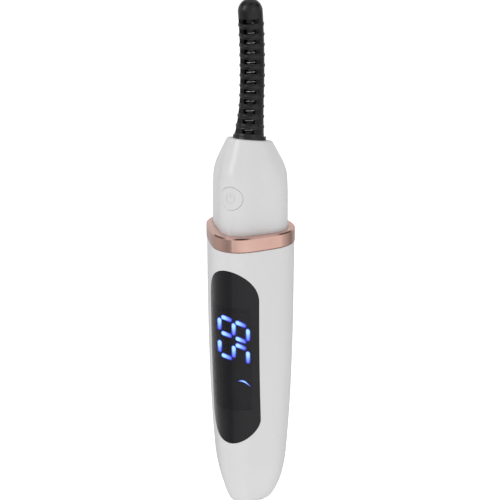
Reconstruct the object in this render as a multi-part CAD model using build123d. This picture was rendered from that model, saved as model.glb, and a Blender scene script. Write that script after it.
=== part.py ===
from build123d import *

import os
from math import asin, cos, pi, radians, sin, sqrt

# Heated eyelash curler: a hand-held wand with a display, as an assembly of separate pieces.
# Millimetres. +Z runs up the wand from its flat base to the comb's tip, the display and the
# button face -Y, and the origin is the centre of the flat base.

os.makedirs("parts", exist_ok=True)

# --- outlines -----------------------------------------------------------------------------
# A cross-section is a circle with three cosine waves: two, three and four lobes to the turn.
# Its soft apex faces -Y, where the display and the button are.
outline_points = 32
body_wave = (-0.15, 0.80, 0.35)
neck_wave = (-0.50, 0.80, 0.40)
round_below = 4.0          # sections of this mean radius and less are circles
waved_above = 9.0          # sections of this mean radius and more carry the whole wave

# --- body shell ---------------------------------------------------------------------------
body_height = 80.5
body_radius = 12.0
body_taper = 0.265         # share of the radius lost from the ring down to the base
body_taper_power = 3
end_height = 14.8          # height of the rounded end
end_ratio = 0.62           # flat base's radius over the tapered radius there
end_roundness = 1.87
body_wall = 1.5
base_wall = 1.8
body_stations = 22
body_station_spacing = 1.5  # over 1, so that the sections stand closer together at the base
fit_gap = 0.10             # between two fixed pieces, one inside the other

# --- window -------------------------------------------------------------------------------
window_width = 15.0
window_bottom = 22.5
window_below_ring = 5.2
window_bottom_rise = 6.8
window_top_rise = 9.4
window_thickness = 1.0
window_ledge = 0.9         # how far the shell's ledge reaches in under the window
window_gap = 0.06

# --- trim ring ----------------------------------------------------------------------------
ring_height = 4.1
ring_proud = 0.15
ring_bevel = 0.35

# --- neck ---------------------------------------------------------------------------------
neck_height = 24.2         # from the ring's top to the comb's foot, on the axis
neck_radius = 9.9
neck_wall = 1.4
neck_top_wall = 2.2
neck_stations = 12
neck_edge_radius = 0.5
skirt_depth = 4.0          # how far the neck reaches down inside the body
shoulder_height = 16.1     # above the ring's top
shoulder_slope = 0.479
shoulder_softness = 2.74

# --- comb ---------------------------------------------------------------------------------
comb_length = 37.2
comb_foot_y = 0.8           # the comb stands this far behind the neck's middle
comb_bend_radius = 100.0
comb_radius = 3.25
comb_bore_radius = 2.1
comb_flange_radius = 4.5
comb_flange_height = 0.9
comb_spigot_radius = 3.2
comb_spigot_length = 3.0
comb_flare = 0.95          # how much wider the comb is at its foot
comb_flare_height = 12.0
comb_flare_shift = 0.45    # towards the front, so the back of the comb stays straight
slot_count = 12
slot_pitch = 2.72
slot_height = 1.25
slot_first = 2.15          # first slot's middle, up from the comb's foot
slot_depth_y = 1.15        # the slots stop this far in front of the comb's axis
rib_thickness = 1.0
rib_proud = 0.18
rib_round = 0.40

# --- heater -------------------------------------------------------------------------------
core_radius = 1.20
core_bore_radius = 0.60
core_top_gap = 4.0         # from the core's end to the comb's tip
core_tail = 4.2            # how far the core reaches down below the comb's foot
wire_radius = 0.27
turn_pitch = slot_pitch / 2
turn_count = 24
thermistor_radius = 0.48
thermistor_height = 18.0
thermistor_lead_radius = 0.20
lead_radius = 0.35
lead_bend_radius = 1.0
holder_flange_radius = 3.0
holder_flange_height = 0.8
holder_gap = 0.05

# --- button and switch --------------------------------------------------------------------
button_above_ring = 10.3
button_radius = 3.15
button_gap = 0.08
button_proud = 0.05
button_travel = 0.30
button_flange_lip = 0.50    # how far the flange reaches out beyond the hole, all round
button_flange_inset = 3.70  # from the neck's mean radius to the flange's front
button_flange_thickness = 0.60
symbol_radius = 1.25
symbol_stroke = 0.28
symbol_depth = 0.08
symbol_opening_angle = 70.0
switch_width = 4.5
plunger_radius = 1.0
plunger_gap = 0.05         # all round the plunger, and between it and the button
plunger_exposed = 0.50
plunger_engagement = 0.35  # how far the plunger sits inside the switch

# --- main board and display ---------------------------------------------------------------
board_front_y = -3.2
board_thickness = 1.0
board_width = 14.0
board_neck_width = 10.0
board_bottom = 24.0
board_step_gap = 0.5       # below the neck's skirt, where the board narrows
board_above_button = 5.8
module_inset = 3.6         # from the body's mean radius to the module's front
module_width = 10.6
module_above_window = 13.5 # from the window's lower end to the module's
module_length = 26.0
first_digit = 12.8         # up from the module's lower end
digit_pitch = 7.8
digits_x = -0.3
digit_texts = ("5", "8")
digit_length = 8.9         # across the wand, between end segments' middles
digit_width = 4.8          # along the wand, between side segments' middles
digit_slant = 0.20
segment_stroke = 1.05
segment_depth = 0.40
segment_end_gap = 0.30
icon_below_digit = 8.2
icon_ends = ((1.0, 0.9), (5.0, -0.8))
icon_outer_middle = (3.45, 0.75)
icon_inner_middle = (3.15, -0.05)

# --- cell and chassis ---------------------------------------------------------------------
cell_radius = 5.1
cell_length = 44.5
cell_bottom = 27.2
cell_board_gap = 0.2
cell_cap_radius = 2.9
cell_cap_height = 0.5
tab_width = 3.0
tab_thickness = 0.12
chassis_gap = 0.20
bulkhead_thickness = 3.0
middle_bulkhead_thickness = 2.0
rail_width = 1.5
rail_depth = 3.0
tail_width = 7.0
tail_thickness = 1.2
boss_radius = 1.8
boss_length = 2.4

# --- charge board and socket --------------------------------------------------------------
socket_width = 8.94
socket_thickness = 3.26
socket_length = 7.35
socket_wall = 0.30
socket_recess = 0.5
socket_gap = 0.15
tongue_width = 6.6
tongue_thickness = 0.7
tongue_length = 4.6
contact_count = 12
charge_board_width = 10.0
charge_board_bottom = 4.0
charge_board_top = 20.0

# --- screws -------------------------------------------------------------------------------
screw_radius = 0.8
screw_hole_gap = 0.05
screw_length = 3.2
screw_head_radius = 1.4
screw_head_height = 0.8
screw_slot_width = 0.35
screw_slot_depth = 0.35
charge_screw_height = 17.0

# --- sizes that follow from the ones above ------------------------------------------------
ring_top = body_height + ring_height
neck_top = ring_top + neck_height
window_top = body_height - window_below_ring
button_height = ring_top + button_above_ring
button_flange_y = button_flange_inset - neck_radius
button_back_y = button_flange_y + button_flange_thickness
switch_front_y = button_back_y + plunger_gap + plunger_exposed
board_step = body_height - skirt_depth - board_step_gap
board_top = button_height + board_above_button
module_front_y = module_inset - body_radius
module_bottom = window_bottom + module_above_window
module_top = module_bottom + module_length
digit_middles = (module_bottom + first_digit, module_bottom + first_digit + digit_pitch)
board_back_y = board_front_y + board_thickness
cell_y = board_back_y + cell_board_gap + cell_radius
cell_top = cell_bottom + cell_length
charge_board_y = socket_thickness / 2
charge_board_back_y = charge_board_y + board_thickness
lower_bulkhead = cell_bottom - chassis_gap - bulkhead_thickness
upper_bulkhead = cell_top + cell_cap_height + chassis_gap
middle_bulkhead = (cell_bottom + cell_top - middle_bulkhead_thickness) / 2


def save(name, *shapes):
    """Write one node, as one solid or as a group of separate solids."""
    solids = [solid for shape in shapes for solid in shape.solids()]
    whole = solids[0] if len(solids) == 1 else Compound(children=solids)
    export_step(whole, f"parts/{name}.step")


# --- sections and lofts -------------------------------------------------------------------
def wave_share(size):
    return min(1.0, max(0.0, (size - round_below) / (waved_above - round_below)))


def outline(size, wave, height, full_size=None):
    """A closed cross-section of mean radius size, as a face at the given height."""
    share = wave_share(full_size if full_size is not None else size)
    points = []
    for step in range(outline_points):
        turn = 2 * pi * step / outline_points
        lobes = sum(size_of * cos(count * turn) for count, size_of in zip((2, 3, 4), wave))
        radius = size + share * lobes
        points.append((radius * sin(turn), -radius * cos(turn), height))
    return Face(Wire(Spline(*points, periodic=True)))


def body_size(height):
    """Mean radius of the body's outside: a slow taper, and a rounded end at the base."""
    height = min(max(height, 0.0), body_height)
    below_ring = 1 - height / body_height
    tapered = body_radius * (1 - body_taper * below_ring**body_taper_power)
    if height >= end_height:
        return tapered
    left = 1 - height / end_height
    rounding = (1 - left**end_roundness) ** (1 / end_roundness)
    return tapered * (end_ratio + (1 - end_ratio) * rounding)


def neck_size(height):
    """Mean radius of the neck's outside: straight, then a soft shoulder into a cone."""
    above = height - ring_top - shoulder_height
    return neck_radius - shoulder_slope * (sqrt(above**2 + shoulder_softness**2) + above) / 2


def body_solid(inset, bottom, top):
    """The body's outside, brought in by inset, between two heights."""
    faces = []
    for step in range(body_stations + 1):
        height = bottom + (top - bottom) * (step / body_stations) ** body_station_spacing
        size = body_size(height)
        faces.append(outline(size - inset, body_wave, height, size))
    return loft(faces)


def neck_solid(inset, bottom, top):
    """The neck's outside, brought in by inset, between two heights."""
    faces = []
    for step in range(neck_stations + 1):
        height = bottom + (top - bottom) * step / neck_stations
        size = neck_size(height)
        faces.append(outline(size - inset, neck_wave, height, size))
    return loft(faces)


def slab(x_size, y_low, y_high, z_low, z_high, x_middle=0.0):
    """A plain block, placed by its limits."""
    block = Box(x_size, y_high - y_low, z_high - z_low)
    return Pos(x_middle, (y_low + y_high) / 2, (z_low + z_high) / 2) * block


def rod_along_y(radius, y_low, y_high, x, z):
    """A round rod along the front-to-back direction."""
    rod = Rot(90, 0, 0) * Cylinder(radius, y_high - y_low)
    return Pos(x, (y_low + y_high) / 2, z) * rod


def front_prism(face, y_low, y_high):
    """Sweep a face drawn in X and Z (as sketch X and Y) along Y."""
    front = Plane(origin=(0, y_high, 0), x_dir=(1, 0, 0), z_dir=(0, -1, 0))
    return extrude(front * face, amount=y_high - y_low)


def tube_along(points, radius, bend_radius):
    """A wire of round section along straight runs joined by arcs."""
    path = FilletPolyline(*points, radius=bend_radius)
    start = Plane(origin=path @ 0, z_dir=path % 0)
    return sweep(start * Circle(radius), path=path)


# --- window -------------------------------------------------------------------------------
def window_face(inset):
    """The window's outline, brought in by inset: straight sides and two rounded ends."""
    half = window_width / 2 - inset
    low_corner = window_bottom + window_bottom_rise
    high_corner = window_top - window_top_rise
    sides = Pos(0, (low_corner + high_corner) / 2) * Rectangle(2 * half, high_corner - low_corner)
    top_end = Pos(0, high_corner) * Ellipse(half, window_top_rise - inset)
    bottom_arc = ThreePointArc((-half, low_corner), (0, window_bottom + inset), (half, low_corner))
    bottom_end = make_face([*bottom_arc.edges(), *Line((half, low_corner), (-half, low_corner)).edges()])
    return sides + top_end + bottom_end


def window_prism(inset):
    return front_prism(window_face(inset), -2 * body_radius, board_front_y)


def build_body():
    """The shell with its window seat, its bore and its socket opening, and the window."""
    outside = body_solid(0, 0, body_height)
    bore = body_solid(body_wall, base_wall, body_height + base_wall)
    seat = body_solid(window_thickness, base_wall, body_height)
    opening = extrude(socket_outline(socket_gap), amount=2 * base_wall + socket_length)
    shell = outside - bore - window_prism(window_ledge)
    shell = shell - (window_prism(0) - seat) - opening
    window = (outside & window_prism(window_gap)) - seat
    save("body_shell", shell)
    save("display_window", window)


# --- socket -------------------------------------------------------------------------------
def socket_outline(growth):
    """The socket's rounded mouth at the base, grown all round."""
    thickness = socket_thickness + 2 * growth
    return SlotOverall(socket_width + 2 * growth, thickness)


def build_socket():
    mouth = Pos(0, 0, socket_recess)
    shell = extrude(mouth * socket_outline(0), amount=socket_length)
    hollow = extrude(mouth * socket_outline(-socket_wall), amount=socket_length - socket_wall)
    save("socket_shell", shell - hollow)
    tongue_top = socket_recess + socket_length - socket_wall
    half = tongue_thickness / 2
    tongue = slab(tongue_width, -half, half, tongue_top - tongue_length, tongue_top)
    contact_pitch = tongue_width / (contact_count + 1)
    contact_depth = tongue_thickness / 5
    contacts = []
    for step in range(contact_count):
        x = (step - (contact_count - 1) / 2) * contact_pitch
        low = tongue_top - 0.9 * tongue_length
        contacts.append(slab(contact_pitch / 2, -half, contact_depth - half, low, tongue_top, x))
    for contact in contacts:
        tongue = tongue - contact
    save("socket_tongue", tongue)
    save("socket_contacts", *contacts)


def build_charge_board():
    back = charge_board_back_y
    board = slab(charge_board_width, charge_board_y, back, charge_board_bottom, charge_board_top)
    hole = rod_along_y(screw_radius + screw_hole_gap, charge_board_y, back, 0, charge_screw_height)
    save("charge_board", board - hole)
    chip_bottom = socket_recess + socket_length + 1.0
    save("charger_chip", slab(4.0, charge_board_y - 1.2, charge_board_y, chip_bottom, chip_bottom + 4.0))


# --- ring and neck ------------------------------------------------------------------------
def build_ring():
    blank = extrude(outline(body_radius + ring_proud, body_wave, body_height), amount=ring_height)
    edges = blank.edges().group_by(Axis.Z)
    blank = chamfer([*edges[0], *edges[-1]], ring_bevel)
    hole = extrude(outline(neck_radius + fit_gap, neck_wave, body_height), amount=ring_height)
    save("trim_ring", blank - hole)


def build_neck():
    above = neck_top + comb_flange_radius
    outside = neck_solid(0, ring_top, above)
    cut_size = 4 * neck_radius
    outside = outside - comb_plane(0) * Pos(0, 0, cut_size / 2) * Box(cut_size, cut_size, cut_size)
    outside = fillet(outside.faces().sort_by(Axis.Z)[-1].edges(), neck_edge_radius)
    waist = extrude(outline(neck_radius, neck_wave, body_height), amount=ring_height)
    skirt_size = body_radius - body_wall - fit_gap
    skirt_bottom = body_height - skirt_depth
    skirt = extrude(outline(skirt_size, body_wave, skirt_bottom, body_radius), amount=skirt_depth)
    low_bore = extrude(
        outline(neck_radius - neck_wall, neck_wave, skirt_bottom, neck_radius),
        amount=skirt_depth + ring_height,
    )
    high_bore = neck_solid(neck_wall, ring_top, neck_top - neck_top_wall)
    shell = outside + waist + skirt - low_bore - high_bore
    shell = shell - rod_along_y(button_radius + button_gap, -2 * neck_radius, 0, 0, button_height)
    spigot_hole = Cylinder(comb_spigot_radius + fit_gap, 2 * core_tail)
    save("neck_shell", shell - comb_plane(0) * spigot_hole)


# --- comb ---------------------------------------------------------------------------------
# The comb's axis is an arc in the YZ plane, hollow towards the front. Its foot leans back and
# its tip leans forward by the same angle.
comb_half_angle = asin(comb_length / 2 / comb_bend_radius)
comb_arc_length = 2 * comb_half_angle * comb_bend_radius


def comb_plane(height, shift=0.0):
    """The plane across the comb's axis at a height measured along the arc from its foot."""
    angle = height / comb_bend_radius - comb_half_angle
    centre_y = comb_foot_y - comb_bend_radius * cos(comb_half_angle)
    centre_z = neck_top + comb_length / 2
    along = (0, -sin(angle), cos(angle))
    y = centre_y + (comb_bend_radius + shift) * cos(angle)
    z = centre_z + (comb_bend_radius + shift) * sin(angle)
    return Plane(origin=(0, y, z), x_dir=(1, 0, 0), z_dir=along)


def comb_flare_share(height):
    return max(0.0, 1 - height / comb_flare_height) ** 2


def comb_outer_radius(height):
    return comb_radius + comb_flare * comb_flare_share(height)


def comb_section_plane(height):
    return comb_plane(height, -comb_flare_shift * comb_flare_share(height))


def arc_rod(radius, low, high):
    """A round rod that follows the comb's axis between two heights along it."""
    path = ThreePointArc(*(comb_plane(height).origin for height in (low, (low + high) / 2, high)))
    return sweep(comb_plane(low) * Circle(radius), path=path)


def comb_blank(dome_middle, stations=16):
    """The comb's tube, filled in, with its wider foot."""
    faces = []
    for step in range(stations + 1):
        height = dome_middle * step / stations
        faces.append((comb_section_plane(height) * Circle(comb_outer_radius(height))).face())
    return loft(faces)


def build_comb():
    dome_middle = comb_arc_length - comb_radius
    comb = comb_blank(dome_middle) + comb_plane(dome_middle) * Sphere(comb_radius)
    for step in range(slot_count - 1):
        height = slot_first + slot_pitch * (step + 0.5)
        rib = Cylinder(comb_outer_radius(height) + rib_proud, rib_thickness)
        rib = Rot(0, 0, 90) * fillet(rib.edges(), rib_round)  # keeps its seam off the comb's seam
        comb = comb + comb_section_plane(height) * rib
    flange = Cylinder(comb_flange_radius, comb_flange_height, align=(Align.CENTER, Align.CENTER, Align.MIN))
    comb = comb + comb_plane(0) * flange
    spigot = Cylinder(comb_spigot_radius, comb_spigot_length, align=(Align.CENTER, Align.CENTER, Align.MAX))
    comb = comb + comb_plane(0) * spigot
    comb = comb - arc_rod(comb_bore_radius, -2 * comb_spigot_length, dome_middle)
    reach = 2 * comb_flange_radius
    for step in range(slot_count):
        plane = comb_plane(slot_first + slot_pitch * step)
        comb = comb - plane * Pos(0, -slot_depth_y - reach / 2, 0) * Box(2 * reach, reach, slot_height)
    save("comb_shell", comb)


def build_heater():
    core_top = comb_arc_length - core_top_gap
    core = arc_rod(core_radius, -core_tail, core_top)
    save("heater_core", core - arc_rod(core_bore_radius, -core_tail, core_top - core_radius))
    turn_middle = core_radius + wire_radius
    turns = []
    for step in range(turn_count):
        height = slot_first + turn_pitch * (step - 0.5)
        turns.append(comb_plane(height) * Torus(turn_middle, wire_radius))
    save("heater_winding", *turns)
    bead = comb_plane(thermistor_height) * Sphere(thermistor_radius)
    lead_top = thermistor_height - thermistor_radius
    save("thermistor_bead", bead)
    save("thermistor_lead", arc_rod(thermistor_lead_radius, -core_tail - 1.0, lead_top))
    bush_radius = comb_bore_radius - holder_gap
    bush_length = comb_spigot_length + holder_flange_height
    bush = Cylinder(bush_radius, bush_length, align=(Align.CENTER, Align.CENTER, Align.MAX))
    flange_align = (Align.CENTER, Align.CENTER, Align.MAX)
    flange = Cylinder(holder_flange_radius, holder_flange_height, align=flange_align)
    holder = comb_plane(0) * bush
    holder = holder + comb_plane(0) * Pos(0, 0, -comb_spigot_length) * flange
    save("heater_holder", holder - comb_plane(0) * Cylinder(core_radius + holder_gap, 3 * bush_length))


def build_heater_leads():
    """Two wires from the heater's foot, down to pads on the main board's front."""
    foot = comb_plane(-core_tail).origin
    pad_y = board_front_y - lead_radius
    leads = []
    for side in (-1, 1):
        points = [
            (side * 0.85, foot.Y, foot.Z - 0.4),
            (side * 0.85, foot.Y - 0.1, foot.Z - 2.2),
            (side * 3.2, pad_y, board_top + 0.6),
            (side * 3.2, pad_y, board_top - 3.0),
        ]
        leads.append(tube_along(points, lead_radius, lead_bend_radius / 2))
    save("heater_leads", *leads)


# --- button and switch --------------------------------------------------------------------
def symbol_face():
    """The generic power mark: a ring open at the top, and a bar standing in the opening."""
    outer = symbol_radius + symbol_stroke / 2
    ring = Circle(outer) - Circle(outer - symbol_stroke)
    notch_width = 2 * symbol_radius * sin(radians(symbol_opening_angle / 2))
    notch = Pos(0, outer / 2) * Rectangle(notch_width, outer)
    bar = Pos(0, symbol_radius / 2 + symbol_stroke) * Rectangle(symbol_stroke, symbol_radius)
    return (ring - notch) + bar


def build_button():
    low = button_height - 2 * button_radius
    high = button_height + 2 * button_radius
    cap = rod_along_y(button_radius, -2 * neck_radius, button_back_y, 0, button_height)
    cap = cap & neck_solid(-button_proud, low, high)
    flange_radius = button_radius + button_gap + button_flange_lip
    flange = rod_along_y(flange_radius, button_flange_y, button_back_y, 0, button_height)
    flange = flange & neck_solid(neck_wall + button_gap, low, high)
    mark = front_prism(Pos(0, button_height) * symbol_face(), -2 * neck_radius, button_flange_y)
    mark = mark - neck_solid(symbol_depth - button_proud, low, high)
    save("power_button", cap + flange - mark)


def build_switch():
    half = switch_width / 2
    base = slab(switch_width, switch_front_y, board_front_y, button_height - half, button_height + half)
    well_back = switch_front_y + plunger_engagement + button_travel + 2 * plunger_gap
    well = rod_along_y(plunger_radius + plunger_gap, switch_front_y, well_back, 0, button_height)
    save("switch_body", base - well)
    plunger_front = button_back_y + plunger_gap
    plunger_back = switch_front_y + plunger_engagement
    save("switch_plunger", rod_along_y(plunger_radius, plunger_front, plunger_back, 0, button_height))


# --- boards and display -------------------------------------------------------------------
def chassis_screw_heights():
    return (lower_bulkhead + bulkhead_thickness / 2, upper_bulkhead + bulkhead_thickness / 2)


def build_main_board():
    wide = slab(board_width, board_front_y, board_back_y, board_bottom, board_step)
    narrow = slab(board_neck_width, board_front_y, board_back_y, board_step, board_top)
    board = wide + narrow
    for height in chassis_screw_heights():
        board = board - rod_along_y(screw_radius + screw_hole_gap, board_front_y, board_back_y, 0, height)
    save("main_board", board)
    chip_bottom = lower_bulkhead + bulkhead_thickness + 2.2
    save("controller_chip", slab(4.6, board_front_y - 1.0, board_front_y, chip_bottom, chip_bottom + 4.6))
    transistor_bottom = module_top + 2.0
    transistor_top = transistor_bottom + 4.0
    transistor = slab(4.5, board_front_y - 1.5, board_front_y, transistor_bottom, transistor_top)
    save("heater_transistor", transistor)
    small = []
    for row in range(4):
        bottom = board_step + 2.0 + 2.6 * row
        for x in (-2.8, 0.0, 2.8):
            small.append(slab(1.6, board_front_y - 0.6, board_front_y, bottom, bottom + 0.8, x))
    save("board_components", *small)


def segment_face(x_from, z_from, x_to, z_to):
    """One display segment: a bar with pointed ends between two corners of a digit."""
    start = Vector(x_from, z_from)
    reach = Vector(x_to, z_to) - start
    along = reach.normalized()
    across = Vector(-along.Y, along.X) * (segment_stroke / 2)
    nose = along * (segment_stroke / 2)
    first = start + along * segment_end_gap
    last = start + reach - along * segment_end_gap
    corners = [first, first + nose + across, last - nose + across]
    corners += [last, last - nose - across, first + nose - across]
    return make_face(Polyline(*corners, close=True).edges())


def digit_faces(text, middle):
    """A digit's lit and unlit segments. The digits read up the wand, so their tops face -X."""
    lit_by_text = {"5": "afgcd", "8": "abcdefg"}
    top, bottom = -digit_length / 2, digit_length / 2
    left, right = -digit_width / 2, digit_width / 2
    ends = {
        "a": (top, left, top, right),
        "b": (top, right, 0, right),
        "c": (0, right, bottom, right),
        "d": (bottom, left, bottom, right),
        "e": (0, left, bottom, left),
        "f": (top, left, 0, left),
        "g": (0, left, 0, right),
    }
    lit, unlit = [], []
    for name, (x_from, along_from, x_to, along_to) in ends.items():
        z_from = middle + along_from - digit_slant * x_from
        z_to = middle + along_to - digit_slant * x_to
        face = segment_face(digits_x + x_from, z_from, digits_x + x_to, z_to)
        (lit if name in lit_by_text[text] else unlit).append(face)
    return lit, unlit


def icon_face():
    """A small crescent beside the digits."""
    outer = ThreePointArc(icon_ends[0], icon_outer_middle, icon_ends[1])
    inner = ThreePointArc(icon_ends[1], icon_inner_middle, icon_ends[0])
    return make_face([*outer.edges(), *inner.edges()])


def build_display():
    module = slab(module_width, module_front_y, board_front_y, module_bottom, module_top)
    back = module_front_y + segment_depth
    lit, unlit = [], []
    for text, middle in zip(digit_texts, digit_middles):
        lit_faces, unlit_faces = digit_faces(text, middle)
        lit += [front_prism(face, module_front_y, back) for face in lit_faces]
        unlit += [front_prism(face, module_front_y, back) for face in unlit_faces]
    icon = front_prism(Pos(0, digit_middles[0] - icon_below_digit) * icon_face(), module_front_y, back)
    for piece in [*lit, *unlit, icon]:
        module = module - piece
    save("display_module", module)
    save("lit_segments", *lit)
    save("unlit_segments", *unlit)
    save("display_icon", icon)


# --- cell, chassis and screws -------------------------------------------------------------
def build_cell():
    centre = Pos(0, cell_y, cell_bottom)
    upright = (Align.CENTER, Align.CENTER, Align.MIN)
    cell = centre * Cylinder(cell_radius, cell_length, align=upright)
    cell = fillet(cell.edges(), 0.5)
    save("battery_cell", cell)
    cap_face = Pos(0, cell_y, cell_top) * Cylinder(cell_cap_radius, cell_cap_height, align=upright)
    save("cell_cap", cap_face)
    cap_top = cell_top + cell_cap_height
    top_tab = slab(tab_width, board_back_y, cell_y + tab_width / 2, cap_top, cap_top + tab_thickness)
    low_tab = slab(tab_width, board_back_y, cell_y + tab_width / 2, cell_bottom - tab_thickness, cell_bottom)
    save("cell_tabs", top_tab, low_tab)


def bulkhead(bottom, thickness):
    """A cross-wall that fills the body's bore behind the board, less a small gap."""
    size = body_size(bottom)
    inner = body_wall + chassis_gap
    wall = extrude(outline(size - inner, body_wave, bottom, size), amount=thickness)
    behind = slab(4 * body_radius, board_back_y, 2 * body_radius, bottom, bottom + thickness)
    return wall & behind


def build_chassis():
    top = upper_bulkhead + bulkhead_thickness
    frame = bulkhead(lower_bulkhead, bulkhead_thickness)
    frame = frame + bulkhead(middle_bulkhead, middle_bulkhead_thickness)
    frame = frame + bulkhead(upper_bulkhead, bulkhead_thickness)
    for side in (-1, 1):
        x = side * (board_width / 2 - rail_width / 2)
        rail = slab(rail_width, board_back_y, board_back_y + rail_depth, lower_bulkhead, top, x)
        frame = frame + rail
    tail_back = charge_board_back_y + tail_thickness
    tail_bottom = socket_recess + socket_length + 1.0
    frame = frame + slab(tail_width, charge_board_back_y, tail_back, tail_bottom, lower_bulkhead)
    boss_end = charge_board_back_y + boss_length
    frame = frame + rod_along_y(boss_radius, charge_board_back_y, boss_end, 0, charge_screw_height)
    cell_hole = Cylinder(cell_radius + cell_board_gap / 2, cell_length)
    frame = frame - Pos(0, cell_y, (cell_bottom + cell_top) / 2) * cell_hole
    hole = screw_radius + screw_hole_gap
    for height in chassis_screw_heights():
        frame = frame - rod_along_y(hole, board_back_y, board_back_y + screw_length, 0, height)
    frame = frame - rod_along_y(hole, charge_board_back_y, boss_end, 0, charge_screw_height)
    save("chassis", frame)


def screw(face_y, height):
    """One self-tapping screw: its head sits on face_y and its shank runs back from there."""
    head = rod_along_y(screw_head_radius, face_y - screw_head_height, face_y, 0, height)
    shank = rod_along_y(screw_radius, face_y, face_y + screw_length, 0, height)
    half = screw_slot_width / 2
    slot_back = face_y - screw_head_height + screw_slot_depth
    slot_front = face_y - 2 * screw_head_height
    slot = slab(4 * screw_head_radius, slot_front, slot_back, height - half, height + half)
    return head + shank - slot


def build_screws():
    screws = [screw(board_front_y, height) for height in chassis_screw_heights()]
    screws.append(screw(charge_board_y, charge_screw_height))
    save("chassis_screws", *screws)


def build_charge_leads():
    """Two wires from the charge board up to the main board's front."""
    leads = []
    low_y = charge_board_y - lead_radius
    high_y = board_front_y - lead_radius
    for side in (-1, 1):
        x = side * 3.0
        points = [
            (x, low_y, charge_board_top - 5.0),
            (x, low_y, charge_board_top - 1.0),
            (x, high_y, board_bottom - 0.5),
            (x, high_y, board_bottom + 4.0),
        ]
        leads.append(tube_along(points, lead_radius, lead_bend_radius))
    save("charge_leads", *leads)


build_body()
build_socket()
build_charge_board()
build_ring()
build_neck()
build_comb()
build_heater()
build_heater_leads()
build_button()
build_switch()
build_main_board()
build_display()
build_cell()
build_chassis()
build_screws()
build_charge_leads()
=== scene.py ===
# Looks of the heated eyelash curler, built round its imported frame. Metres, +Z up, front at -Y.

from math import cos, pi, radians, sin, sqrt

import bpy
from mathutils import Matrix, Vector


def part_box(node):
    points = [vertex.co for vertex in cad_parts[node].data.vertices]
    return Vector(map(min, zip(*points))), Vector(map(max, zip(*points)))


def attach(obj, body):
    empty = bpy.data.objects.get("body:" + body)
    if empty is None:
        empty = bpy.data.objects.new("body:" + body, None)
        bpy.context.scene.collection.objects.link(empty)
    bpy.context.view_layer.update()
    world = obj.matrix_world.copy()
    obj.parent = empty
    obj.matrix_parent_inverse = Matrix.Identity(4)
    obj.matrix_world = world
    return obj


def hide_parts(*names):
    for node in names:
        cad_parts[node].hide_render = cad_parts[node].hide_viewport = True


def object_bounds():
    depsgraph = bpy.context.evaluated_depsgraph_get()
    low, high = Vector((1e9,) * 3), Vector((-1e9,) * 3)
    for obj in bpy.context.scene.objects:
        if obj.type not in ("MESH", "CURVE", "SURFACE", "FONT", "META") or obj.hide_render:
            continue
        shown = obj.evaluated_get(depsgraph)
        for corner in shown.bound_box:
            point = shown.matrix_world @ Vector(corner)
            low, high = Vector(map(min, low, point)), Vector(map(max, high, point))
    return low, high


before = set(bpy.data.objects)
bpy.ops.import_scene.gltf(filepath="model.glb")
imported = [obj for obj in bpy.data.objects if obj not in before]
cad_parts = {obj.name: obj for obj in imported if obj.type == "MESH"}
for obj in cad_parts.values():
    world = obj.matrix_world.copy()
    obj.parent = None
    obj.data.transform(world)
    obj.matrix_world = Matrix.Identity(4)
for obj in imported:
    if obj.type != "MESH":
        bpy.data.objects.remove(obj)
cad_low, cad_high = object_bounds()
MM = 0.001

# --- camera, light and stage ----------------------------------------------------------------
CAMERA_AZIMUTH = radians(26.5)
CAMERA_DISTANCE = 0.3005
CAMERA_HEIGHT = 0.1820
CAMERA_PITCH = radians(19.22)
CAMERA_YAW = radians(-0.10)
CAMERA_LENS = 82.25
FLOOR_SIZE = 6.0
FLOOR_GLOW = 0.45            # keeps the floor white in the picture
WORLD_STRENGTH = 0.66
SKY_FADE = 0.04
# Bands of the studio's walls, as (lowest, highest height of a direction, tones round them). A
# tone's azimuth is in degrees from the front, and +X is at 90.
SKY_BANDS = (
    (-1.0, 1.0, ((-180, 1.0), (0, 1.0))),
    (-1.2, -0.03, ((-150, 0.7), (-60, 0.72), (-25, 0.50), (-6, 0.62), (3, 1.15), (14, 1.1),
                   (26, 1.25), (50, 1.35), (80, 1.3), (94, 1.35), (108, 0.9), (140, 0.4), (170, 0.7))),
    (0.40, 0.80, ((-140, 1.0), (-100, 0.25), (-60, 0.25), (-45, 1.0), (105, 1.0), (118, 0.2),
                  (150, 0.2), (165, 1.0))),
    (0.90, 1.20, ((-20, 1.0), (10, 0.1), (80, 0.1), (110, 1.0))),
)

# --- display --------------------------------------------------------------------------------
DIGIT_TEXTS = ("5", "8")
DIGIT_LENGTH = 8.9 * MM          # across the wand, between end segments' middles
DIGIT_WIDTH = 4.8 * MM           # along the wand, between side segments' middles
DIGIT_SLANT = 0.20
SEGMENT_RADIUS = 0.80 * MM
SEGMENT_END_GAP = 1.22 * MM
SEGMENT_DOME = 0.10 * MM         # how far a segment's middle stands out of the module
SEGMENT_RINGS = 6                # of points, from its outline to its middle
SEGMENT_ARC_STEPS = 8            # round each of its ends
LAMP_SLOPE = 0.5                 # a segment steeper than this has its lamp at its end
FAR_GLOW = 0.55                  # share of the light at the end that is away from the lamp
LAMP_GLOW = 0.75                 # added to it at the lamp
LIT_BY_TEXT = {"5": "afgcd", "8": "abcdefg"}
GLOW_STRENGTH = 34.0
GLOW_POWER = 2.0                 # over 1, so that the bright middle is wide
CLEAR_ALPHA = 0.82               # of the window in front of the display, where 1 is opaque
CLEAR_MARGIN = 3.0 * MM          # the clear area reaches this far past the module's ends
PRINT_WIDTH = 1.1 * MM           # solid black print inside the window's sides
PRINT_FADE = 0.8 * MM
ICON_STEPS = 16                  # along the crescent
ICON_RINGS = 4                   # from its middle line to each edge
ICON_CHORD = 0.52                # height of its left end, as a share of its rise
ICON_OUTER_BOW = 0.62            # how far its edges bow up from the chord, as shares of its rise
ICON_INNER_BOW = 0.20
ICON_OUTER_FULLNESS = 0.9        # under 1, so that the outer edge is fuller than a sine
ICON_END_GLOW = 0.45
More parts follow.
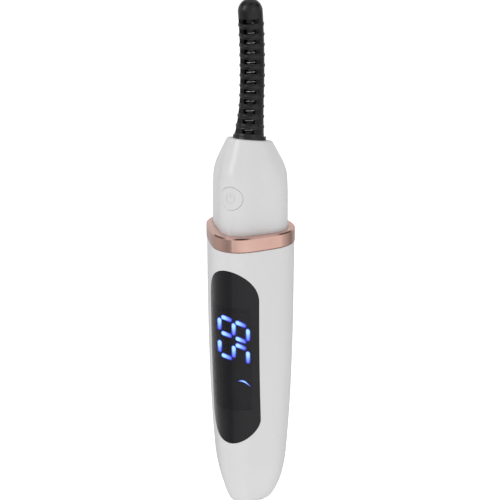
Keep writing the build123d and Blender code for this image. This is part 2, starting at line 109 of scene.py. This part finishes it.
ICON_MIDDLE_GLOW = 0.45          # added to it half way along

# --- shells and grain -----------------------------------------------------------------------
SHELL_TONE = 0.655
BUTTON_TONE = 0.650
CLOUD_STOPS = (0.30, 0.70)       # noise values of a material's dark tone and its light tone
CLOSE_CLOUD_STOPS = (0.35, 0.65)
GRAIN_STRENGTH = 0.35
NOISE_ROUGHNESS = 0.55
GRAIN_PER_CLOUD = 12             # how much finer a material's grain is than its clouds

# --- comb and heater ------------------------------------------------------------------------
COMB_BEND_RADIUS = 100.0 * MM
WIRE_RADIUS = 0.22 * MM
COIL_TURNS = 24
COIL_STEPS = 28                  # along each turn
WIRE_SIDES = 8
COMB_LENGTH = 37.2 * MM          # from its foot to its tip, straight


# --- material helpers -----------------------------------------------------------------------
def new_material(name, **sockets):
    """A node material whose Principled shader has these plain values on its own sockets."""
    material = bpy.data.materials.new(name)
    material.use_nodes = True
    shader = material.node_tree.nodes["Principled BSDF"]
    for socket, value in sockets.items():
        shader.inputs[socket.replace("_", " ")].default_value = value
    return material, material.node_tree, shader


def add_node(tree, kind, **settings):
    """A shader node. Each setting goes to its property of that name, or else to its socket."""
    node = tree.nodes.new(kind)
    for key, value in settings.items():
        if hasattr(node, key):
            setattr(node, key, value)
        else:
            node.inputs[key.replace("_", " ")].default_value = value
    return node


def object_noise(tree, scale, detail=3.0, stretch=(1, 1, 1)):
    """Noise in the part's own metres, so its grain has a real size."""
    place = add_node(tree, "ShaderNodeTexCoord")
    mapping = add_node(tree, "ShaderNodeMapping")
    mapping.inputs["Scale"].default_value = stretch
    noise = add_node(
        tree, "ShaderNodeTexNoise", Scale=scale, Detail=detail, Roughness=NOISE_ROUGHNESS)
    tree.links.new(place.outputs["Object"], mapping.inputs["Vector"])
    tree.links.new(mapping.outputs["Vector"], noise.inputs["Vector"])
    return noise.outputs["Fac"]


def ramp(tree, factor, *stops):
    """A colour ramp over factor. Each stop is (position, colour)."""
    node = add_node(tree, "ShaderNodeValToRGB")
    elements = node.color_ramp.elements
    while len(elements) < len(stops):
        elements.new(0.5)
    for element, (position, colour) in zip(elements, stops):
        element.position = position
        element.color = (*colour, 1.0)
    tree.links.new(factor, node.inputs["Fac"])
    return node.outputs["Color"]


def two_tones(tree, shader, cloud, dark, light, stops=CLOUD_STOPS):
    """Base colour between two close tones, by a cloud of noise."""
    low, high = stops
    tree.links.new(ramp(tree, cloud, (low, dark), (high, light)), shader.inputs["Base Color"])


def scaled(tree, factor, low, high):
    """Factor, from 0 to 1, taken to the range from low to high."""
    node = add_node(tree, "ShaderNodeMapRange")
    node.inputs["To Min"].default_value = low
    node.inputs["To Max"].default_value = high
    tree.links.new(factor, node.inputs["Value"])
    return node.outputs["Result"]


def bump(tree, shader, height, strength, distance):
    """Relief on the shader's normal. Its distance is in metres."""
    node = add_node(tree, "ShaderNodeBump", Strength=strength, Distance=distance)
    tree.links.new(height, node.inputs["Height"])
    tree.links.new(node.outputs["Normal"], shader.inputs["Normal"])


def varied_material(name, dark, light, rough, grain, bump_height, **sockets):
    """Plastic, metal or wrap: two close colours, uneven gloss, and a fine grain in relief."""
    material, tree, shader = new_material(name, **sockets)
    cloud = object_noise(tree, grain / GRAIN_PER_CLOUD, detail=2.0)
    fine = object_noise(tree, grain, detail=4.0)
    two_tones(tree, shader, cloud, dark, light, CLOSE_CLOUD_STOPS)
    tree.links.new(scaled(tree, cloud, rough[0], rough[1]), shader.inputs["Roughness"])
    bump(tree, shader, fine, GRAIN_STRENGTH, bump_height)
    return material


# --- materials ------------------------------------------------------------------------------
def white_plastic(name, tone):
    """Glossy injection-moulded shell: faint flow clouds and a shallow orange peel."""
    material, tree, shader = new_material(name, Coat_Weight=0.35, Coat_Roughness=0.06)
    cloud = object_noise(tree, 60.0, detail=2.0, stretch=(1, 1, 0.4))
    peel = object_noise(tree, 700.0, detail=2.0)
    dark = tuple(tone * share for share in (0.986, 0.987, 0.992))
    light = tuple(tone * share for share in (1.0, 1.0, 1.005))
    two_tones(tree, shader, cloud, dark, light)
    tree.links.new(scaled(tree, peel, 0.26, 0.31), shader.inputs["Roughness"])
    bump(tree, shader, peel, 0.25, 0.00001)
    return material


def rose_gold():
    """Polished plating: slow changes of tone, and faint upright polishing lines."""
    material, tree, shader = new_material("rose_gold", Metallic=1.0)
    cloud = object_noise(tree, 90.0, detail=3.0)
    fine = object_noise(tree, 2500.0, detail=3.0, stretch=(1, 1, 0.15))
    two_tones(tree, shader, cloud, (0.76, 0.47, 0.40), (0.84, 0.56, 0.48))
    tree.links.new(scaled(tree, cloud, 0.08, 0.14), shader.inputs["Roughness"])
    bump(tree, shader, fine, 0.10, 0.000004)
    return material


def smoked_window():
    """Polished smoked cover, printed black inside its edge and clearer over the digits."""
    material, tree, shader = new_material("smoked_window", Specular_IOR_Level=0.30)
    cloud = object_noise(tree, 80.0, detail=2.0)
    two_tones(tree, shader, cloud, (0.0085, 0.0085, 0.010), (0.012, 0.012, 0.014))
    tree.links.new(scaled(tree, cloud, 0.05, 0.10), shader.inputs["Roughness"])
    bump(tree, shader, object_noise(tree, 300.0, detail=1.0), 0.05, 0.000006)
    tree.links.new(display_zone(tree), shader.inputs["Alpha"])
    return material


def display_zone(tree):
    """Alpha of the window: solid print near its edge, and part clear round the display."""
    low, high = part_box("display_module")
    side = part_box("display_window")[1].x - PRINT_WIDTH
    limits = (("X", -side, side), ("Z", low.z - CLEAR_MARGIN, high.z + CLEAR_MARGIN))
    place = add_node(tree, "ShaderNodeTexCoord")
    parts = add_node(tree, "ShaderNodeSeparateXYZ")
    tree.links.new(place.outputs["Object"], parts.inputs["Vector"])
    inside = None
    for axis, lowest, highest in limits:
        for limit, sign in ((lowest, 1), (highest, -1)):
            edge = add_node(tree, "ShaderNodeMapRange", interpolation_type="SMOOTHSTEP")
            edge.inputs["From Min"].default_value = limit
            edge.inputs["From Max"].default_value = limit + sign * PRINT_FADE
            tree.links.new(parts.outputs[axis], edge.inputs["Value"])
            step = edge.outputs["Result"]
            inside = step if inside is None else product(tree, inside, step)
    return scaled(tree, inside, 1.0, CLEAR_ALPHA)


def product(tree, first, second):
    """Two values multiplied."""
    node = add_node(tree, "ShaderNodeMath", operation="MULTIPLY")
    tree.links.new(first, node.inputs[0])
    tree.links.new(second, node.inputs[1])
    return node.outputs["Value"]


def black_comb():
    """Heat-resistant moulded black with a fine spark-eroded grain."""
    material, tree, shader = new_material("black_comb", Specular_IOR_Level=0.42)
    cloud = object_noise(tree, 220.0, detail=3.0)
    fine = object_noise(tree, 3200.0, detail=3.0)
    two_tones(tree, shader, cloud, (0.0035, 0.0035, 0.004), (0.0070, 0.0070, 0.008))
    tree.links.new(scaled(tree, cloud, 0.18, 0.30), shader.inputs["Roughness"])
    bump(tree, shader, fine, GRAIN_STRENGTH, 0.00002)
    return material


def lit_blue():
    """A lit segment: its glow is held by each point, white-blue in the middle and violet at ends."""
    material, tree, shader = new_material("lit_blue", Roughness=0.35)
    glow = add_node(tree, "ShaderNodeAttribute", attribute_name="glow").outputs["Fac"]
    colour = ramp(
        tree,
        glow,
        (0.00, (0.004, 0.005, 0.09)),
        (0.22, (0.025, 0.03, 0.50)),
        (0.42, (0.09, 0.12, 0.95)),
        (0.66, (0.22, 0.42, 1.0)),
        (0.88, (0.42, 0.78, 1.0)),
    )
    tree.links.new(colour, shader.inputs["Emission Color"])
    shader.inputs["Emission Strength"].default_value = GLOW_STRENGTH
    dots = object_noise(tree, 2200.0, detail=1.0)
    tree.links.new(ramp(tree, dots, (0.4, (0.10, 0.12, 0.55)), (0.6, (0.16, 0.20, 0.70))),
                   shader.inputs["Base Color"])
    return material


def coil_wire():
    """Drawn resistance wire: bright nickel with a fine grain in relief."""
    return varied_material(
        "coil_wire", (0.42, 0.40, 0.37), (0.66, 0.64, 0.60), (0.16, 0.28), 2600.0, 0.000004,
        Metallic=1.0)


def cad_materials():
    """The material of each CAD node that is shown as it is."""
    white = white_plastic("white_shell", SHELL_TONE)
    button = white_plastic("white_button", BUTTON_TONE)
    steel = varied_material(
        "plated_steel", (0.56, 0.56, 0.57), (0.70, 0.70, 0.71), (0.18, 0.34), 1500.0, 0.000005,
        Metallic=1.0)
    nickel = varied_material(
        "nickel_strip", (0.60, 0.58, 0.54), (0.72, 0.70, 0.66), (0.22, 0.38), 1200.0, 0.000005,
        Metallic=1.0)
    gold = varied_material(
        "contact_gold", (0.76, 0.56, 0.26), (0.88, 0.70, 0.36), (0.15, 0.28), 2000.0, 0.000003,
        Metallic=1.0)
    tinned = varied_material(
        "tinned_wire", (0.62, 0.62, 0.62), (0.76, 0.76, 0.77), (0.20, 0.35), 2500.0, 0.000004,
        Metallic=1.0)
    black = varied_material(
        "moulded_black", (0.010, 0.010, 0.011), (0.022, 0.022, 0.024), (0.42, 0.58), 1800.0, 0.00001)
    green = varied_material(
        "board_green", (0.010, 0.110, 0.045), (0.020, 0.165, 0.070), (0.22, 0.36), 900.0, 0.000008)
    module = varied_material(
        "module_black", (0.0030, 0.0030, 0.0036), (0.0045, 0.0045, 0.0052), (0.60, 0.70), 1500.0,
        0.000001)
    unlit = varied_material(
        "unlit_grey", (0.010, 0.010, 0.014), (0.018, 0.018, 0.024), (0.30, 0.45), 1500.0, 0.000005)
    tan = varied_material(
        "component_tan", (0.36, 0.25, 0.14), (0.48, 0.36, 0.22), (0.40, 0.60), 1500.0, 0.00001)
    # The heater core's near-black tone is painted shade: it darkens what shows through the comb's
    # slots round the coil.
    ceramic_painted_shade = varied_material(
        "heater_ceramic", (0.020, 0.019, 0.018), (0.045, 0.043, 0.040), (0.55, 0.75), 1500.0, 0.00002)
    resin = varied_material(
        "heat_resin", (0.55, 0.47, 0.32), (0.66, 0.58, 0.42), (0.45, 0.60), 1000.0, 0.00001)
    red = varied_material(
        "lead_insulation", (0.42, 0.02, 0.015), (0.55, 0.035, 0.025), (0.35, 0.50), 1200.0, 0.00001)
    wrap = varied_material(
        "cell_wrap", (0.03, 0.13, 0.36), (0.05, 0.19, 0.48), (0.20, 0.32), 700.0, 0.00001)
    grey = varied_material(
        "chassis_grey", (0.085, 0.09, 0.10), (0.12, 0.125, 0.135), (0.45, 0.60), 1300.0, 0.00002)
    tip = varied_material(
        "switch_tip", (0.50, 0.50, 0.47), (0.62, 0.62, 0.58), (0.35, 0.50), 1500.0, 0.00001)
    bead = varied_material(
        "bead_glass", (0.30, 0.11, 0.03), (0.45, 0.18, 0.06), (0.08, 0.16), 900.0, 0.00001)
    return {
        "body_shell": white,
        "neck_shell": white,
        "power_button": button,
        "display_window": smoked_window(),
        "trim_ring": rose_gold(),
        "comb_shell": black_comb(),
        "heater_core": ceramic_painted_shade,
        "thermistor_bead": bead,
        "thermistor_lead": tinned,
        "heater_leads": red,
        "heater_holder": resin,
        "switch_body": black,
        "switch_plunger": tip,
        "main_board": green,
        "charge_board": green,
        "controller_chip": black,
        "charger_chip": black,
        "heater_transistor": black,
        "board_components": tan,
        "display_module": module,
        "unlit_segments": unlit,
        "battery_cell": wrap,
        "cell_cap": steel,
        "cell_tabs": nickel,
        "chassis": grey,
        "chassis_screws": steel,
        "socket_shell": steel,
        "socket_tongue": black,
        "socket_contacts": gold,
        "charge_leads": red,
    }


def dress_cad_nodes():
    """Give each CAD node that is shown its material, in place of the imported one."""
    for name, material in cad_materials().items():
        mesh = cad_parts[name].data
        mesh.materials.clear()
        mesh.materials.append(material)


# --- pieces ---------------------------------------------------------------------------------
def new_piece(name, mesh_data, material, body):
    """A mesh object from (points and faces) that rides on a body."""
    points, faces = mesh_data
    mesh = bpy.data.meshes.new(name)
    mesh.from_pydata(points, [], faces)
    mesh.validate()
    for polygon in mesh.polygons:
        polygon.use_smooth = True
    mesh.materials.append(material)
    piece = bpy.data.objects.new(name, mesh)
    bpy.context.collection.objects.link(piece)
    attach(piece, body)
    return piece


def segment_ends():
    """The two ends of each lit segment's straight middle, as points (x, z) on the module's face."""
    low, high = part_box("lit_segments")
    middle_x = (low.x + high.x) / 2
    half_rise = DIGIT_SLANT * DIGIT_LENGTH / 2 + DIGIT_WIDTH / 2
    stroke = (high.x - low.x) - DIGIT_LENGTH
    slack = half_rise + stroke / 2
    middles = (low.z + slack, high.z - slack)
    top, bottom = -DIGIT_LENGTH / 2, DIGIT_LENGTH / 2
    left, right = -DIGIT_WIDTH / 2, DIGIT_WIDTH / 2
    ends = {
        "a": (top, left, top, right),
        "b": (top, right, 0, right),
        "c": (0, right, bottom, right),
        "d": (bottom, left, bottom, right),
        "e": (0, left, bottom, left),
        "f": (top, left, 0, left),
        "g": (0, left, 0, right),
    }
    for text, middle in zip(DIGIT_TEXTS, middles):
        for name in LIT_BY_TEXT[text]:
            x_from, along_from, x_to, along_to = ends[name]
            start = Vector((middle_x + x_from, middle + along_from - DIGIT_SLANT * x_from))
            end = Vector((middle_x + x_to, middle + along_to - DIGIT_SLANT * x_to))
            reach = (end - start).normalized()
            yield start + reach * SEGMENT_END_GAP, end - reach * SEGMENT_END_GAP


def segment_mesh(start, end, front_y, back_y):
    """A pill shape with a domed front: rings of points that shrink towards the front."""
    reach = (end - start).normalized()
    across = Vector((-reach.y, reach.x))
    points, glows, faces = [], [], []
    outline = []
    for middle, sign in ((end, 1), (start, -1)):
        for step in range(SEGMENT_ARC_STEPS + 1):
            turn = pi * step / SEGMENT_ARC_STEPS - pi / 2
            outline.append((middle, reach * (sign * cos(turn)) + across * (sign * sin(turn))))
    count = len(outline)
    layers = [(1.0, back_y, 0.0)]
    for ring in range(SEGMENT_RINGS + 1):
        size = 1.0 - ring / SEGMENT_RINGS
        dome = sqrt(max(0.0, 1 - size * size))
        layers.append((size, front_y - SEGMENT_DOME * dome, 1 - size ** GLOW_POWER))
    for size, y, glow in layers:
        for middle, direction in outline:
            place = middle + direction * (SEGMENT_RADIUS * size)
            points.append((place.x, y, place.y))
            glows.append(glow)
    for layer in range(len(layers) - 1):
        for step in range(count):
            a = layer * count + step
            b = layer * count + (step + 1) % count
            faces.append((a, b, b + count, a + count))
    faces.append(tuple(reversed(range(count))))
    return points, glows, faces


def joined(parts):
    """Several (points, values, faces) as one."""
    points, values, faces = [], [], []
    for part_points, part_values, part_faces in parts:
        shift = len(points)
        points += part_points
        values += part_values
        faces += [tuple(index + shift for index in face) for face in part_faces]
    return points, values, faces


def set_attribute(piece, name, values):
    """Hold one number at each of a piece's points, for its material."""
    attribute = piece.data.attributes.new(name, "FLOAT", "POINT")
    attribute.data.foreach_set("value", values)


def build_lit_segments(material):
    """All lit segments of both digits, as one piece on the module's face."""
    low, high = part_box("lit_segments")
    parts = []
    for start, end in segment_ends():
        points, glows, faces = segment_mesh(start, end, low.y, high.y)
        parts.append((points, tinted(points, glows, start, end), faces))
    points, glows, faces = joined(parts)
    piece = new_piece("lit_digits", (points, faces), material, "handle")
    set_attribute(piece, "glow", glows)
    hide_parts("lit_segments")


def tinted(points, glows, start, end):
    """Each segment's light is brightest by its lamp, near one end, and dimmer at its other end."""
    reach = end - start
    run = reach.length
    lamp_at_end = reach.y > abs(reach.x) * LAMP_SLOPE
    shaded = []
    for (x, _, z), glow in zip(points, glows):
        share = (Vector((x, z)) - start).dot(reach) / (run * run)
        share = min(1.0, max(0.0, share))
        along = share if lamp_at_end else 1 - share
        shaded.append(min(1.0, glow * (FAR_GLOW + LAMP_GLOW * along)))
    return shaded


def build_icon(material):
    """The small crescent beside the digits, domed like a segment."""
    low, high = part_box("display_icon")
    width, rise = high.x - low.x, high.z - low.z
    outer, inner = [], []
    for step in range(ICON_STEPS + 1):
        share = step / ICON_STEPS
        x = low.x + width * share
        chord = low.z + rise * (ICON_CHORD - ICON_CHORD * share)
        outer_bow = ICON_OUTER_BOW * sin(pi * share) ** ICON_OUTER_FULLNESS
        outer.append(Vector((x, chord + rise * outer_bow)))
        inner.append(Vector((x, chord + rise * ICON_INNER_BOW * sin(pi * share))))
    points, glows, faces = [], [], []
    for ring in range(-ICON_RINGS, ICON_RINGS + 1):
        share = (ring + ICON_RINGS) / (2 * ICON_RINGS)
        lift = 1 - (ring / ICON_RINGS) ** 2
        for step in range(ICON_STEPS + 1):
            place = inner[step].lerp(outer[step], share)
            points.append((place.x, low.y - SEGMENT_DOME * lift, place.y))
            middle_glow = ICON_MIDDLE_GLOW * sin(pi * step / ICON_STEPS)
            glows.append(lift * (ICON_END_GLOW + middle_glow))
    row = ICON_STEPS + 1
    for ring in range(2 * ICON_RINGS):
        for step in range(ICON_STEPS):
            a = ring * row + step
            faces.append((a, a + 1, a + 1 + row, a + row))
    piece = new_piece("lit_icon", (points, faces), material, "handle")
    set_attribute(piece, "glow", glows)
    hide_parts("display_icon")


def comb_axis(z, middle_y, middle_z):
    """The comb's middle line at a height: a point on its arc, and the arc's direction there."""
    rise = z - middle_z
    reach = sqrt(COMB_BEND_RADIUS ** 2 - rise ** 2)
    point = Vector((0, middle_y + reach - COMB_BEND_RADIUS, z))
    return point, Vector((0, -rise, reach)).normalized()


def build_winding(material):
    """The heater's wire: one true helix round the core, along the comb's arc."""
    low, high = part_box("heater_winding")
    coil_radius = high.x - WIRE_RADIUS
    bottom = low.z + 2 * WIRE_RADIUS
    top = high.z - 2 * WIRE_RADIUS
    middle_y = high.y - high.x
    middle_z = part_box("comb_shell")[1].z - COMB_LENGTH / 2
    points, faces = [], []
    steps = COIL_TURNS * COIL_STEPS
    for step in range(steps + 1):
        share = step / steps
        axis, along = comb_axis(bottom + share * (top - bottom), middle_y, middle_z)
        turn = 2 * pi * COIL_TURNS * share
        side = Vector((1, 0, 0))
        outward = side * cos(turn) + along.cross(side) * sin(turn)
        centre = axis + outward * coil_radius
        for edge in range(WIRE_SIDES):
            angle = 2 * pi * edge / WIRE_SIDES
            points.append(centre + (outward * cos(angle) + along * sin(angle)) * WIRE_RADIUS)
    for step in range(steps):
        for edge in range(WIRE_SIDES):
            a = step * WIRE_SIDES + edge
            b = step * WIRE_SIDES + (edge + 1) % WIRE_SIDES
            faces.append((a, b, b + WIRE_SIDES, a + WIRE_SIDES))
    last = steps * WIRE_SIDES
    faces.append(tuple(range(WIRE_SIDES - 1, -1, -1)))
    faces.append(tuple(last + edge for edge in range(WIRE_SIDES)))
    piece = new_piece("heater_coil", (points, faces), material, "handle")
    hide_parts("heater_winding")


def build_stage():
    """A plain pale floor under the wand. Plating and gloss don't mirror it."""
    bpy.ops.mesh.primitive_plane_add(size=FLOOR_SIZE, location=(0, 0, cad_low.z))
    floor = bpy.context.object
    floor.name = "floor"
    material, tree, shader = new_material("pale_floor", Roughness=0.9)
    speckle = object_noise(tree, 30.0, detail=2.0)
    colour = ramp(tree, speckle, (0.3, (0.94, 0.94, 0.94)), (0.7, (0.96, 0.96, 0.96)))
    tree.links.new(colour, shader.inputs["Base Color"])
    shader.inputs["Specular IOR Level"].default_value = 0.1
    shader.inputs["Emission Color"].default_value = (1.0, 1.0, 1.0, 1.0)
    shader.inputs["Emission Strength"].default_value = FLOOR_GLOW
    floor.data.materials.append(material)
    floor.visible_glossy = False


def add_light(name, location, target, size, energy):
    """A square lamp that faces a target. Its size is in metres and its energy in watts."""
    light = bpy.data.lights.new(name, "AREA")
    light.shape = "SQUARE"
    light.size = size
    light.energy = energy
    lamp = bpy.data.objects.new(name, light)
    lamp.location = location
    lamp.rotation_mode = "QUATERNION"
    lamp.rotation_quaternion = (Vector(target) - Vector(location)).to_track_quat("-Z", "Y")
    bpy.context.collection.objects.link(lamp)
    return lamp


def build_lights():
    """Soft lamps at the left, at the right and above, and the studio's walls."""
    middle = (cad_low + cad_high) / 2
    add_light("key", (-0.45, -0.55, 0.55), middle, 0.5, 1.5)
    add_light("fill", (0.65, -0.35, 0.35), middle, 0.6, 0.5)
    top = add_light("top", (0.0, 0.1, 0.9), middle, 0.7, 2.2)
    top.visible_glossy = False
    build_world()


def sky_band(tree, height, low, high):
    """1 between two heights of a direction, fading over a short step at both."""
    inside = None
    for limit, sign in ((low, 1), (high, -1)):
        edge = add_node(tree, "ShaderNodeMapRange", interpolation_type="SMOOTHSTEP")
        edge.inputs["From Min"].default_value = limit - sign * SKY_FADE
        edge.inputs["From Max"].default_value = limit + sign * SKY_FADE
        tree.links.new(height, edge.inputs["Value"])
        step = edge.outputs["Result"]
        inside = step if inside is None else product(tree, inside, step)
    return inside


def turn_share(azimuth):
    """Where a direction lies on the radial gradient. Azimuth 0 is the front, -Y, and 90 is +X."""
    return ((azimuth - 90.0) / 360.0 + 0.5) % 1.0


def grey_stops(pairs):
    """Ramp stops in rising order, from (place, tone)."""
    return sorted((place, (tone, tone, tone)) for place, tone in pairs)


def build_world():
    """White studio walls, with dimmer and brighter patches that plating and gloss mirror."""
    world = bpy.data.worlds.new("studio")
    world.use_nodes = True
    tree = world.node_tree
    direction = add_node(tree, "ShaderNodeTexCoord")
    parts = add_node(tree, "ShaderNodeSeparateXYZ")
    around = add_node(tree, "ShaderNodeTexGradient", gradient_type="RADIAL")
    tree.links.new(direction.outputs["Generated"], parts.inputs["Vector"])
    tree.links.new(direction.outputs["Generated"], around.inputs["Vector"])
    shade = None
    for low, high, patches in SKY_BANDS:
        stops = grey_stops((turn_share(azimuth), tone) for azimuth, tone in patches)
        tones = ramp(tree, around.outputs["Fac"], *stops)
        band = sky_band(tree, parts.outputs["Z"], low, high)
        if shade is None:
            shade = tones
            continue
        mix = add_node(tree, "ShaderNodeMixRGB")
        tree.links.new(band, mix.inputs["Fac"])
        tree.links.new(shade, mix.inputs["Color1"])
        tree.links.new(tones, mix.inputs["Color2"])
        shade = mix.outputs["Color"]
    background = tree.nodes["Background"]
    tree.links.new(shade, background.inputs["Color"])
    background.inputs["Strength"].default_value = WORLD_STRENGTH
    bpy.context.scene.world = world


def build_camera():
    """A long lens from a little above, at the front and to its right."""
    camera_data = bpy.data.cameras.new("camera")
    camera_data.sensor_width = 36.0
    camera_data.lens = CAMERA_LENS
    camera_data.clip_start = 0.01
    camera = bpy.data.objects.new("camera", camera_data)
    bpy.context.collection.objects.link(camera)
    camera.location = (
        CAMERA_DISTANCE * sin(CAMERA_AZIMUTH),
        -CAMERA_DISTANCE * cos(CAMERA_AZIMUTH),
        CAMERA_HEIGHT,
    )
    turn = Matrix.Rotation(CAMERA_AZIMUTH + CAMERA_YAW, 4, "Z")
    tip = Matrix.Rotation(pi / 2 - CAMERA_PITCH, 4, "X")
    camera.rotation_mode = "QUATERNION"
    camera.rotation_quaternion = (turn @ tip).to_quaternion()
    bpy.context.scene.camera = camera


bpy.context.scene.view_settings.view_transform = "Standard"
build_camera()
build_stage()
build_lights()
dress_cad_nodes()
blue = lit_blue()
build_lit_segments(blue)
build_icon(blue)
build_winding(coil_wire())
